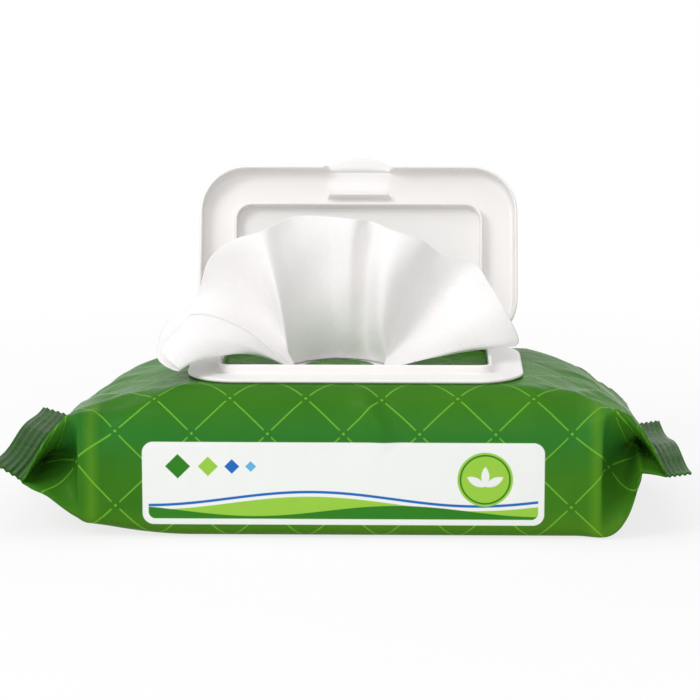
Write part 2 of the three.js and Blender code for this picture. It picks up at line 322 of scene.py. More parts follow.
def film_material():
    """Satin printed film: green with a light diamond lattice, and a white panel on the front.

    The lattice lines are where either slanted coordinate is a whole number. They stop short of
    each crossing, which has a dot. The front goes from a cooler green near its top to lime along its
    lower edge and its upright folds. The lime low on the front is painted light, and the lime band on the
    folds is a painted highlight. The panel carries plain waves, diamonds and a leaf disc."""
    material, tree, shader = new_material("printed_film", Specular_IOR_Level=0.025)
    u, v = flat_place(tree)
    across, up = (u + 0.2) / LATTICE_WIDE, (v - 42.8) / LATTICE_HIGH
    rising, falling = (across - up).to_whole(), (across + up).to_whole()
    steep = LATTICE_WIDE * LATTICE_HIGH / math.hypot(LATTICE_WIDE, LATTICE_HIGH)
    line = rising.least(falling) * steep
    crossing = rising.length_with(falling) * steep
    lattice = (line - 0.27).inside(0.3) * (crossing * -1 + 2.1).inside(0.5)
    dots = (crossing - 0.55).inside(0.3)
    cloudy = grain(tree, object_place(tree), 9, 0.25)
    colour = paint(tree, (0.020, 0.125, 0.010), (0.066, 0.225, 0.014), cloudy)
    faced = (abs(u) - 112).inside(6) * (v - 60).inside(8) * (v * -1 - 20).inside(16)
    colour = paint(tree, colour, (0.018, 0.175, 0.030), (abs(v - 41) - 8).inside(16) * faced * 0.6)
    # painted light: the front's lower edge is painted a lighter lime, as if lit
    colour = paint(tree, colour, (0.105, 0.235, 0.014), (v - 5).inside(16) * faced * 0.7)
    # painted highlight: a lime band along the rounded upright folds of the front
    colour = paint(tree, colour, (0.120, 0.300, 0.016), (abs(abs(u) - 99.5) - 1).inside(5) * faced * 0.7)
    colour = paint(tree, colour, (0.170, 0.460, 0.035), lattice.most(dots) * 0.85)

    # painted shade: the crimped fins are painted a darker green, as shade in their grooves
    fin_shade = (abs(u) * -1 + 124.5).inside(2.0)
    colour = paint(tree, colour, (0.016, 0.075, 0.008), fin_shade * 0.75)
    panel = rounded_box(u, v, LABEL_MIDDLE, LABEL_HALF, LABEL_CORNER).inside(0.3)
    panel = panel * v.math("LESS_THAN", 60) * v.math("GREATER_THAN", -10)
    art = paint(tree, PALE_INK, (0.84, 0.85, 0.83), cloudy)
    low_wave = v - (u * 0.055 + 0.4).sine() * 2.2 - 11.5
    high_wave = v - (u * 0.048 + 2.2).sine() * 2.8 - 14.5
    field = (LABEL_HALF[0] - LABEL_MARGIN, LABEL_HALF[1] - LABEL_MARGIN)
    within = rounded_box(u, v, LABEL_MIDDLE, field, LABEL_CORNER - 1.8).inside(0.3)
    art = paint(tree, art, LIME_INK, high_wave.inside(0.3) * within)
    art = paint(tree, art, GREEN_INK, low_wave.inside(0.3) * within)
    art = paint(tree, art, BLUE_INK, (abs(high_wave - 1.9) - 0.55).inside(0.25) * within)
    for place, size, ink in (
        (-66, 5.0, GREEN_INK),
        (-54, 4.0, LIME_INK),
        (-44.5, 3.0, BLUE_INK),
        (-37, 2.2, SKY_INK),
    ):
        diamond = abs(u - place) + abs(v - 29.5) - size
        art = paint(tree, art, ink, diamond.inside(0.35))
    art = paint(tree, art, LIME_INK, disc(u, v, DISC_MIDDLE, DISC_RADIUS).inside(0.3))
    ring = abs(disc(u, v, DISC_MIDDLE, DISC_RADIUS - 1.2)) - 0.35
    art = paint(tree, art, GREEN_INK, ring.inside(0.25))
    for turn in (0.5, 1.57, 2.64):
        tip = (DISC_MIDDLE[0] + 4.1 * math.cos(turn), 21.6 + 4.1 * math.sin(turn))
        art = paint(tree, art, PALE_INK, leaf(u, v, tip, 8.0, 3.2, turn).inside(0.3))
    colour = paint(tree, colour, art, panel)
    tree.links.new(colour, shader.inputs["Base Color"])

    creased = grain(tree, object_place(tree, (1.0, 1.0, 0.45)), 38, 0.07)
    rough = (creased - 0.5) * 0.22 + 0.27
    tree.links.new(rough.socket, shader.inputs["Roughness"])
    bump(tree, shader, creased, 0.5, 0.003)
    return material


def plastic_material():
    """White moulded plastic: a faint cloudy tone and a fine satin grain."""
    material, tree, shader = new_material("moulded_plastic", IOR=1.49)
    cloudy = grain(tree, object_place(tree), 45, 0.3)
    colour = paint(tree, (0.84, 0.815, 0.805), (0.87, 0.85, 0.84), cloudy)
    tree.links.new(colour, shader.inputs["Base Color"])
    rough = (cloudy - 0.5) * 0.16 + 0.36
    tree.links.new(rough.socket, shader.inputs["Roughness"])
    fine = grain(tree, object_place(tree), 1400, 0.4)
    bump(tree, shader, fine, 0.10, 0.0002)
    return material


def cloth_material():
    """Damp white non-woven cloth: fine fibres that run along it and a small embossed diamond quilt."""
    material, tree, shader = new_material("non_woven_cloth", IOR=1.4, Sheen_Weight=0.15)
    u, v = flat_place(tree)
    rising, falling = ((u + v) / 7.0).to_whole(), ((u - v) / 7.0).to_whole()
    quilt = (rising.least(falling) * 4.0).least(0.5)
    fibre = grain(tree, object_place(tree, (1.0, 1.0, 0.35)), 900, 0.45)
    cloudy = grain(tree, object_place(tree), 60, 0.3)
    colour = paint(tree, (0.855, 0.83, 0.832), (0.91, 0.885, 0.885), cloudy * 0.6 + fibre * 0.4)
    tree.links.new(colour, shader.inputs["Base Color"])
    rough = (fibre - 0.5) * 0.25 + 0.82
    tree.links.new(rough.socket, shader.inputs["Roughness"])
    bump(tree, shader, quilt * 0.9 + fibre * 0.5, 0.25, 0.0005)
    return material


def stack_material():
    """The folded cloths' edges: thin level lines of painted shade, one to each layer, grey where the cloths
    meet.
    """
    material, tree, shader = new_material("folded_cloth", Roughness=0.9, IOR=1.4)
    place = tree.nodes.new("ShaderNodeTexCoord")
    split = tree.nodes.new("ShaderNodeSeparateXYZ")
    tree.links.new(place.outputs["Object"], split.inputs[0])
    fibre = grain(tree, object_place(tree), 700, 0.4)
    layer = (Field(tree, split.outputs["Z"]) / 0.0012 + fibre * 0.5).to_whole() * 2
    # painted shade: grey lines in the gaps between the folded layers
    colour = paint(tree, (0.66, 0.66, 0.65), (0.84, 0.84, 0.83), layer)
    tree.links.new(colour, shader.inputs["Base Color"])
    bump(tree, shader, layer + fibre * 0.4, 0.4, 0.0004)
    return material


def glue_material():
    """Pale hot-melt glue, slightly uneven."""
    material, tree, shader = new_material("hot_melt_glue", Roughness=0.35, IOR=1.48)
    cloudy = grain(tree, object_place(tree), 120, 0.4)
    colour = paint(tree, (0.62, 0.56, 0.40), (0.74, 0.69, 0.55), cloudy)
    tree.links.new(colour, shader.inputs["Base Color"])
    bump(tree, shader, cloudy, 0.3, 0.0004)
    return material


film = film_material()
plastic = plastic_material()
cloth = cloth_material()


# The pouch


def slot_nearest(x, y):
    """Nearest point on the slot's middle line: a half circle behind and two straight legs in front."""
    dx, dy = x - SLOT_X, y - SLOT_Y
    away = np.maximum(np.hypot(dx, dy), 1e-9)
    behind = dy > 0
    near_x = np.where(behind, SLOT_RADIUS * dx / away, np.where(dx < 0, -SLOT_RADIUS, SLOT_RADIUS))
    near_y = np.where(behind, SLOT_RADIUS * dy / away, np.maximum(dy, -SLOT_LEG))
    return SLOT_X + near_x, SLOT_Y + near_y


def end_share(x, start, stop):
    """How far x has gone from start to stop, 0 to 1, with start and stop given for (left, right)."""
    left = np.clip((-x - start[0]) / (stop[0] - start[0]), 0, 1)
    right = np.clip((x - start[1]) / (stop[1] - start[1]), 0, 1)
    return np.where(x < 0, left, right)


def film_top(x):
    """Height of the film's top along the pack: level under the lid, then an easy slope and a steep turn."""
    e = end_share(x, (62, 73), (124, 126))
    eased = np.sqrt(e * e + 0.008) - math.sqrt(0.008)
    slope = np.where(x < 0, 0.60, 0.53)
    drop = np.clip(slope * eased + (1 - slope * 0.914) * e**6, 0, 1)
    return POUCH_TOP + (FIN_LEVEL + 0.45 - POUCH_TOP) * drop


def film_bottom(x):
    """Height of the film's underside: flat, then a slow rise and a slope on the left, and a blunt turn on
    the right that grows with the fourth power of the distance."""
    slow = 6 * np.clip((-x - 60) / 45, 0, 1) ** 2
    left = slow + 18.15 * np.clip((-x - 102) / 23, 0, 1) ** 1.2
    right = (FIN_LEVEL - 0.45 - FILM_UNDER) * np.clip((x - 96) / 20.5, 0, 1) ** 4
    return FILM_UNDER + np.where(x < 0, left, right)


def box_section(x, top, bottom, half, tuck, sharp):
    """Cross-sections of a soft rounded box, one row for each x, from the middle of the underside round the
    rear, the top and the front.

    Each side is a quarter ellipse at its foot, two stretches that meet at the tuck's middle line, and a
    quarter ellipse at its upper edge, which is wider in front than behind. Where sharp is 1 both ellipses
    shrink to tight folds."""
    high = top - bottom
    quarter = math.pi / 2
    counts = {"under": 12, "low": 7, "lower": 11, "upper": 11, "edge": 13, "over": 26}
    t = {name: np.linspace(0, 1, n)[None, :] for name, n in counts.items()}

    def side(front):
        out = np.minimum((FRONT_EDGE if front else REAR_EDGE) * (1 - sharp) + 1.2 * sharp, 0.4 * high)
        rise = np.minimum(EDGE_RISE * (1 - sharp) + 1.5 * sharp, 0.4 * high)
        foot = np.minimum(FOOT_RADIUS * (1 - sharp) + 1.2 * sharp, 0.2 * high)
        middle = (top + bottom) / 2 + (0.06 if front else 0) * high
        y = [
            (half - foot) * t["under"],
            half - foot + foot * np.sin(t["low"] * quarter),
            half - tuck * t["lower"] ** 1.1,
            half - tuck * (1 - t["upper"]) ** 1.1,
            half - out + out * np.cos(t["edge"] * quarter),
            (half - out) * (1 - t["over"]),
        ]
        z = [
            bottom + 0 * t["under"],
            bottom + foot - foot * np.cos(t["low"] * quarter),
            bottom + foot + (middle - bottom - foot) * t["lower"],
            middle + (top - rise - middle) * t["upper"],
            top - rise + rise * np.sin(t["edge"] * quarter),
            top + 0 * t["over"],
        ]
        rows = len(x)
        joined = []
        for parts in (y, z):
            full = [np.broadcast_to(part, (rows, part.shape[1])) for part in parts]
            joined.append(np.concatenate([full[0]] + [part[:, 1:] for part in full[1:]], 1))
        return joined

    rear_y, rear_z = side(False)
    front_y, front_z = side(True)
    y = np.concatenate([rear_y, -front_y[:, -2:0:-1]], 1)
    z = np.concatenate([rear_z, front_z[:, -2:0:-1]], 1)
    return np.stack([x + 0 * y, y, z], -1)


def pouch_shape():
    """Points of the pouch's skin, and each one's distance round it, equal to its height low on the front.

    The skin is soft box sections along the pack. Past the upright folds the tuck grows as the square
    root of the distance, while top and underside close to a thin fin."""
    x = np.concatenate([
        np.linspace(-FIN_END, -FIN[0], 26, endpoint=False),
        np.linspace(-FIN[0], -103, 34, endpoint=False),
        np.linspace(-103, -66, 30, endpoint=False),
        np.linspace(-66, 74, 118, endpoint=False),
        np.linspace(74, 101, 24, endpoint=False),
        np.linspace(101, FIN[1], 38, endpoint=False),
        np.linspace(FIN[1], FIN_END, 24),
    ])[:, None]
    fold = end_share(x, (104.5, 102), (121, 119))
    closing = end_share(x, (121, 119), FIN)
    tuck = TUCK_DEPTH * np.sqrt(fold) * (1 - closing)
    half = POUCH_HALF - 1.5 * end_share(x, (103, 103), FIN)
    sharp = smooth(end_share(x, (92, 92), (108, 106)), 0, 1)
    points = box_section(x, film_top(x), film_bottom(x), half, tuck, sharp)
    y, z = points[..., 1], points[..., 2]
    step = np.hypot(np.diff(y, axis=1, append=y[:, :1]), np.diff(z, axis=1, append=z[:, :1]))
    girth = np.cumsum(step, 1) - step
    level = np.argmin(np.abs(z[len(x) // 2] - 8) + 100 * (y[len(x) // 2] > -50))
    return points, z[:, level, None] + girth[:, level, None] - girth


def end_set(points):
    """Sets the ends as they lie: skewed with the front further out, twisted, and with wavy fins."""
    x, y, z = np.moveaxis(points, -1, 0)
    ahead = -y / POUCH_HALF
    e = end_share(x, (76, 80), FIN)
    out = end_share(x, FIN, (FIN_END, FIN_END))
    left = x < 0
    swing = np.where(left, 4.2, 2.2) * e**2 * ahead
    hump = np.exp(-(((e - 0.66) / 0.25) ** 2))
    body = smooth(z, 8, 40)
    lift = np.where(left, 5.5, 5.0) * hump * ahead * body
    lift = lift - np.where(left, 2.6, -0.8) * smooth(e, 0.8, 1) * ahead
    tilt = np.where(left, 5.6, 1.6) * out * (1 + 0.25 * ahead)
    wave = np.where(left, 1.1, 1.5) * np.sin(y / 11.5 + np.where(left, 0.8, 2.1))
    wave = wave * smooth(e, 0.85, 1) * (0.35 + 0.65 * out)
    crimp = 0.36 * np.sin(2 * math.pi * out * 5) * smooth(out, 0.02, 0.10) * smooth(1 - out, 0.01, 0.08)
    return np.stack([x + np.sign(x) * swing, y, z + lift + tilt + wave + crimp], -1)


def ridge(u, v, start, stop, height, width):
    """A crease: height times a bell across its line, fading out towards both ends."""
    line = np.array(stop, float) - start
    long = np.hypot(*line)
    along = ((u - start[0]) * line[0] + (v - start[1]) * line[1]) / long**2
    beside = ((v - start[1]) * line[0] - (u - start[0]) * line[1]) / long
    bell = np.exp(-((beside / width) ** 2))
    return height * bell * np.clip(1 - (2 * along - 1) ** 2, 0, 1) * (np.abs(2 * along - 1) < 1)


def film_creases(u, v):
    """Creases of the film over its length u and girth v: a few placed ones, and small ones near the ends."""
    placed = [
        ((3, 66), (18, 36), 1.9, 3.4), ((11, 66), (26, 38), -1.4, 3.6),
        ((-8, 62), (10, 44), -0.5, 3.0), ((-104, 58), (-74, 72), 1.1, 3.6),
        ((-108, 50), (-78, 60), -0.9, 4.0), ((-103, 8), (-82, 22), 0.8, 3.0),
        ((-100, 2), (-84, 42), -0.7, 4.2), ((-96, 46), (-66, 60), 0.8, 3.5),
        ((-92, 30), (-84, 62), 0.5, 3.4), ((104, 58), (76, 74), 1.0, 3.4),
        ((108, 50), (80, 62), -0.9, 3.8), ((100, 6), (84, 24), 0.8, 3.2),
        ((96, 2), (88, 46), -0.7, 4.0), ((97, 44), (66, 58), 0.7, 3.6),
        ((60, 44), (44, 66), 0.5, 3.2), ((-40, 44), (-56, 66), 0.5, 3.4),
        ((-62, 40), (-30, 62), -0.4, 4.0), ((40, 42), (66, 60), -0.5, 4.0),
        ((88, 60), (108, 96), 1.2, 4.0), ((-86, 64), (-110, 96), 1.2, 4.0),
        ((92, 84), (116, 108), -1.0, 4.2), ((-90, 84), (-116, 112), -1.0, 4.2),
        ((84, 110), (112, 124), 0.9, 4.0), ((-82, 108), (-112, 122), 0.9, 4.0),
    ]
    total = sum(ridge(u, v, *crease) for crease in placed)
    for end in (-1, 1):
        near = rng.uniform(-60, 330, 44)
        reach = rng.uniform(14, 34, 44)
        slant = rng.uniform(-10, 10, 44)
        tall = rng.uniform(-0.7, 0.8, 44)
        thin = rng.uniform(1.8, 3.2, 44)
        for v0, r, s, h, w in zip(near, reach, slant, tall, thin):
            total = total + ridge(u, v, (end * 126, v0), (end * (122 - r), v0 + s), h, w)
    return total


def build_pouch():
    """The film pouch: the shape, its ends set, creases along its normals, and the slot cut from its top."""
    points, girth = pouch_shape()
    rows, columns = points.shape[:2]
    u = points[..., 0].copy()
    points = end_set(points)
    along = np.gradient(points, axis=0)
    around = (np.roll(points, -1, 1) - np.roll(points, 1, 1)) / 2
    normal = np.cross(around, along)
    normal /= np.maximum(np.linalg.norm(normal, axis=-1, keepdims=True), 1e-9)
    x, y, z = np.moveaxis(points, -1, 0)
    over_x = np.abs(x - LID_X) - (LID_HALF_WIDTH + 1)
    over_y = np.abs(y - LID_Y) - (LID_HALF_DEPTH + 1)
    under_base = (z > 40) * (1 - smooth(np.maximum(over_x, over_y), 0, 9))
    on_floor = 1 - smooth(z, 2.0, 9.0)
    fin = end_share(u, (122, 123), FIN)
    free = (1 - under_base) * (1 - on_floor) * (1 - fin)
    points = points + normal * (film_creases(u, girth) * free)[..., None]
    seam = (z < 1) * (np.abs(u) < 112) * smooth(6.5 - np.abs(y - 3), 0, 0.8)
    points[..., 2] -= FILM_UNDER * seam

    points = points.reshape(-1, 3)
    faces = quads(rows, columns, closed_columns=True)
    middle = points[faces].mean(1)
    near_x, near_y = slot_nearest(middle[:, 0], middle[:, 1])
    away = np.hypot(middle[:, 0] - near_x, middle[:, 1] - near_y)
    cut = (away < SLOT_WIDTH / 2) & (middle[:, 2] > POUCH_TOP - 0.3)
    rim = np.intersect1d(faces[cut], faces[~cut])
    near = np.stack(slot_nearest(points[rim, 0], points[rim, 1]), -1)
    outward = points[rim, :2] - near
    points[rim, :2] = near + outward * (SLOT_WIDTH / 2 / np.linalg.norm(outward, axis=1, keepdims=True))
    faces = faces[~cut].tolist()
    faces.append(list(range(columns))[::-1])
    faces.append(list(range((rows - 1) * columns, rows * columns)))
    used = np.zeros(rows * columns, bool)
    used[np.concatenate([np.array(f) for f in faces])] = True
    number_of = np.cumsum(used) - 1
    faces = [number_of[np.array(f)].tolist() for f in faces]
    uv = np.stack([u, girth], -1).reshape(-1, 2)[used] * 0.001
    pouch = make_piece("pouch_film", points[used], faces, film, "pack", ["film_pouch"], uv)
    thicken(pouch, FILM_THICKNESS, -1)
    return pouch


# The lid and its base


def outline_points():
    """Corner signs and facing angles of points round a rounded rectangle, front edge first.

    The front edge has extra points where the tab and the catch begin and end."""
    fine = np.array([-15.2, -14.7, -14.1, -13.5, -13.1, -12.7])
    outer = np.linspace(-48, -18, 9)
    front = np.concatenate([outer, fine, np.linspace(-11, 11, 17), -fine[::-1], -outer[::-1]]) / 48
    edge = np.linspace(-1, 1, 17)
    rear = np.linspace(1, -1, 21)
    corner = np.linspace(0, math.pi / 2, 13)[1:-1]
    one = np.ones_like
    sides = [
        (front, -one(front), -math.pi / 2 * one(front)),
        (one(corner), -one(corner), -math.pi / 2 + corner),
        (one(edge), edge, 0 * edge),
        (one(corner), one(corner), corner),
        (rear, one(rear), math.pi / 2 * one(rear)),
        (-one(corner), one(corner), math.pi / 2 + corner),
        (-one(edge), -edge, math.pi * one(edge)),
        (-one(corner), -one(corner), math.pi + corner),
    ]
    return [np.concatenate(part) for part in zip(*sides)]


def carry(profile):
    """Carries a profile round rounded rectangles: a row of points for each step of the profile.

    Each step is (middle x, middle y, half width, half depth, corner radius, height)."""
    side_x, side_y, facing = outline_points()
    mx, my, half_width, half_depth, radius, height = (a[:, None] for a in np.array(profile, float).T)
    x = mx + side_x * (half_width - radius) + np.cos(facing) * radius
    y = my + side_y * (half_depth - radius) + np.sin(facing) * radius
    return np.stack([x, y, height + 0 * x], -1)


def arc(start, stop, steps):
    """Pairs of cosine and sine for evenly spaced angles, given in degrees."""
    angle = np.radians(np.linspace(start, stop, steps))
    return list(zip(np.cos(angle), np.sin(angle)))


def lid_profile():
    """The lid's profile, closed, from the middle of its inside over ring and skirt to its outside.

    Distances are insets from the ring's or the lid's outline. Every inner corner is filleted and every
    edge is rounded by a circle arc."""
    inside, outside, ring_low, rim_low = 7.2, 8.4, 2.2, 0.2
    ring_y = -HINGE_GAP - LID_HALF_DEPTH + WINDOW_Y - LID_Y
    lid_y = -HINGE_GAP - LID_HALF_DEPTH

    def ring(inset, z):
        inset_all = RING_GAP + inset
        corner = max(RING_CORNER - inset, 0.8)
        return (0, ring_y, WINDOW_HALF_WIDTH - inset_all, WINDOW_HALF_DEPTH - inset_all, corner, z)

    def rim(inset, z):
        return (0, lid_y, LID_HALF_WIDTH - inset, LID_HALF_DEPTH - inset, max(LID_CORNER - inset, 1.0), z)

    profile = [ring(2.6, inside)]
    profile += [ring(1.2 + 0.9 * (1 - s), inside - 0.9 * (1 - c)) for c, s in arc(0, 90, 5)]
    profile += [ring(0.6 + 0.6 * c, ring_low + 0.6 - 0.6 * s) for c, s in arc(0, 180, 7)]
    profile += [ring(-0.9 * (1 - c), inside - 0.9 * (1 - s)) for c, s in arc(0, 90, 5)]
    foot, skirt = np.array(ring(-0.9, inside)), np.array(rim(3.4, inside))
    catch = len(profile)
    catch_steps = (0.190, 0.198, 0.215, 0.245, 0.275, 0.292, 0.300)
    profile += [tuple(foot + (skirt - foot) * share) for share in catch_steps]
    profile += [rim(1.2 + 2.2 * (1 - s), inside - 2.2 * (1 - c)) for c, s in arc(0, 90, 7)]
    walls = len(profile) - 5
    profile += [rim(1.2, z) for z in (4.0, 2.5)]
    profile += [rim(0.6 + 0.6 * c, rim_low + 0.6 - 0.6 * s) for c, s in arc(0, 180, 7)]
    lip = len(profile) - 5
    profile += [rim(0, z) for z in (2.5, 4.2)]
    crown = len(profile)
    profile += [rim(2.2 * (1 - c), outside - 2.2 + 2.2 * s) for c, s in arc(0, 90, 8)]
    profile += [rim(6, outside + 0.15), rim(16, outside + 0.35), rim(30, outside + 0.4)]
    return profile, catch, walls, lip, crown


def build_lid():
    """The lid: its profile carried round, the catch raised, the skirt cut down and a thumb tab drawn out.

    It is worked out closed about the hinge and then turned open."""
    profile, catch, walls, lip, crown = lid_profile()
    points = carry(profile)
    x, y, z = np.moveaxis(points, -1, 0).copy()
    front = np.broadcast_to(outline_points()[1] == -1, x.shape) & (np.abs(x) < 40)
    front = front & (y < -HINGE_GAP - LID_HALF_DEPTH)
    step = np.arange(len(points))[:, None]
    rise = np.interp(step - catch, [0, 1, 2, 4, 5, 6], [0, 0.9, 1, 1, 0.9, 0], 0, 0)
    z = z - CATCH_HEIGHT * rise * front * (1 - smooth(np.abs(x), 12.6, 13.2))
    tab = front * (1 - smooth(np.abs(x), 13.0, 14.8))
    tongue_steps = [walls, lip - 2, lip, lip + 1, crown, crown + 2, crown + 7]
    tongue = np.interp(step, tongue_steps, [6.9, 6.42, 6.35, 6.42, 7.22, 7.42, 8.4])
    z = np.where((step >= walls) & (step <= crown + 7), z + tab * (tongue - z), z)
    reach = TAB_REACH * np.clip(1 - (x / TAB_HALF) ** 2, 0, 1) ** 0.8 * front
    draw = np.interp(step, [lip - 2, lip, crown, crown + 1, crown + 6], [0, 1, 1, 0.92, 0.1], 0, 0)
    y = y - reach * draw
    c, s = math.cos(LID_OPEN), math.sin(LID_OPEN)
    turned = HINGE + np.stack([x, y * c + z * s, -y * s + z * c], -1)
    rows, columns = turned.shape[:2]
    faces = quads(rows, columns, closed_columns=True).tolist()
    faces.append(list(range(columns))[::-1])
    faces.append(list(range((rows - 1) * columns, rows * columns)))
    make_piece("lid_moulding", turned, faces, plastic, "lid", ["lid"])


def build_base():
    """The base frame: a closed profile of flange and upstand carried round the window."""

    def frame_step(inset, z):
        return (LID_X, LID_Y, LID_HALF_WIDTH - inset, LID_HALF_DEPTH - inset, LID_CORNER - inset, z)

    def window(margin, z):
        half_width, half_depth = WINDOW_HALF_WIDTH + margin, WINDOW_HALF_DEPTH + margin
        return (LID_X, WINDOW_Y, half_width, half_depth, WINDOW_CORNER + margin, z)

    profile = [window(0, BASE_BOTTOM), window(2, BASE_BOTTOM)]
    profile += [frame_step(0.3, BASE_BOTTOM), frame_step(0, BASE_BOTTOM + 0.3)]
    profile += [frame_step(0.6 * (1 - c), FLANGE_TOP - 0.6 + 0.6 * s) for c, s in arc(0, 90, 5)]
    profile += [frame_step(1.8, FLANGE_TOP + 0.03)]
    profile += [window(UPSTAND_WALL + 0.8 * (1 - s), FLANGE_TOP + 0.8 * (1 - c)) for c, s in arc(0, 90, 5)]
    profile += [window(0.8 + 0.8 * c, UPSTAND_TOP - 0.8 + 0.8 * s) for c, s in arc(0, 180, 9)]
    points = carry(profile)
    faces = quads(*points.shape[:2], closed_columns=True, closed_rows=True).tolist()
    make_piece("base_moulding", points, faces, plastic, "pack", ["lid_base"])


def build_hinge():
    """The living hinge: a thin web along the rear edge, from the base to the lid, with a round fold between.

    Its section is a closed loop about a short arc, carried straight along the hinge."""
    c, s = math.cos(LID_OPEN), math.sin(LID_OPEN)
    on_base = np.array([39.9, FLANGE_TOP - 0.25])
    local = np.array([-1.0, 0.55])
    on_lid = HINGE[1:] + np.array([local[0] * c + local[1] * s, -local[0] * s + local[1] * c])
    bend = HINGE[1:] + np.array([0.35, -0.1])
    t = np.linspace(0, 1, 9)[:, None]
    line = (1 - t) ** 2 * on_base + 2 * t * (1 - t) * bend + t**2 * on_lid
    side = np.gradient(line, axis=0)
    side = np.stack([-side[:, 1], side[:, 0]], 1) / np.linalg.norm(side, axis=1, keepdims=True)
    side = side * WEB_THICKNESS / 2
    loop = np.concatenate([line - side, (line + side)[::-1]])
    along = np.linspace(-WEB_HALF_LENGTH, WEB_HALF_LENGTH, 47) + LID_X
    points = np.empty((len(along), len(loop), 3))
    points[..., 0] = along[:, None]
    points[..., 1:] = loop
    rows, columns = points.shape[:2]
    faces = quads(rows, columns, closed_columns=True).tolist()
    faces.append(list(range(columns))[::-1])
    faces.append(list(range((rows - 1) * columns, rows * columns)))
    web = make_piece("hinge_web", points, faces, plastic, None)
    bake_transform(web)


# The cloths

# Ribs of the pulled cloth from its left edge to its right edge. Each is a curve from the slot up to the
# free edge, given by its foot, two handles and its tip.
RIBS = np.array([
    [(-22.5, -8.0, 59.3), (-29, -8, 66), (-46, -14, 86), (-63, -13, 82.5)],
    [(-21.5, -6.5, 59.3), (-33, -12, 66), (-52, -31, 84), (-73, -35, 74)],
    [(-22.5, -5.0, 59.3), (-34, -8, 67), (-52, -30, 74), (-66, -38, 65.2)],
    [(-21.0, -3.5, 59.3), (-34, -3, 69), (-58, -14, 75), (-75.5, -27, 67.8)],
    [(-22.5, -2.0, 59.3), (-33, 3, 73), (-56, 1, 84), (-74, -2, 77)],
    [(-21.0, -0.5, 59.3), (-31, 7, 78), (-49, 8, 92), (-62.5, 7, 86)],
    [(-22.5, 1.0, 59.3), (-29, 7, 82), (-45, 8, 100), (-56.5, 7, 103)],
    [(-23.0, 2.5, 59.3), (-26, 2, 84), (-38, 2, 104), (-46, 3, 111.5)],
    [(-23.5, 4.5, 59.3), (-25, -7, 84), (-31, -6, 104), (-35, -1, 115.5)],
    [(-20.5, 7.5, 59.3), (-21, 4, 84), (-25, 4, 104), (-28, 4, 118.5)],
    [(-15.0, 14.0, 59.3), (-14, 9, 84), (-18, 8, 104), (-20, 8, 120.5)],
    [(-5.0, 19.0, 59.3), (-6, 11, 84), (-8, 8, 104), (-8, 8, 120.5)],
    [(5.0, 17.0, 59.3), (-1, 5, 84), (1, 2, 104), (3, 4, 120.0)],
    [(10.5, 13.0, 59.3), (5, 9, 84), (8, 8, 104), (10, 8, 118.5)],
    [(15.0, 8.0, 59.3), (11, -7, 82), (15, -5, 104), (18, 2, 116)],
    [(16.5, 4.0, 59.3), (15, -3, 80), (24, -1, 100), (30, 3, 112)],
    [(15.5, 2.0, 59.3), (20, 6, 77), (32, 10, 97), (39.5, 10, 104.5)],
    [(17.0, 0.5, 59.3), (24, 10, 74), (42, 14, 93), (52, 11, 101.5)],
    [(15.5, -1.0, 59.3), (27, 6, 71), (47, 6, 86), (58, 6, 94)],
    [(17.0, -2.5, 59.3), (29, 0, 68), (51, -2, 79), (64.5, 2, 84)],
    [(15.5, -4.0, 59.3), (32, -4, 65), (52, -5, 70), (70.5, 1, 71.5)],
    [(17.0, -5.5, 59.3), (32, -5, 64), (51, -4, 67.5), (69.5, 0, 68)],
])


def across_ribs(values, count):
    """Smooth curve through rows of points (Catmull-Rom): each stretch is a cubic whose slope at a row is
    half the way from the row before to the row after."""
    rows = np.concatenate([2 * values[:1] - values[1:2], values, 2 * values[-1:] - values[-2:-1]])
    place = np.linspace(0, len(values) - 1, count)
    i = np.minimum(place.astype(int), len(values) - 2)
    t = (place - i)[:, None, None]
    a, b, c, d = rows[i], rows[i + 1], rows[i + 2], rows[i + 3]
    return b + t * (c - a) / 2 + t**2 * (a - 2.5 * b + 2 * c - d / 2) + t**3 * (1.5 * (b - c) + (d - a) / 2)


def folded_runs():
    """Path of the folded cloth across the pack: level runs joined by half circles, as y and z."""
    y, z = [], []
    ends = (FOLD_REAR, FOLD_FRONT)
    for k, level in enumerate(FOLD_LEVELS[1:]):
        radius = (FOLD_LEVELS[k] - level) / 2
        turn = np.linspace(math.pi / 2, -math.pi / 2, 6)
        outward = 1 if k % 2 == 0 else -1
        y += [ends[k % 2] + outward * radius * np.cos(turn)]
        z += [level + radius + radius * np.sin(turn)]
        y += [np.linspace(ends[k % 2], ends[1 - k % 2], 22)[1:-1]]
        z += [np.full(20, level)]
    return np.concatenate(y), np.concatenate(z)


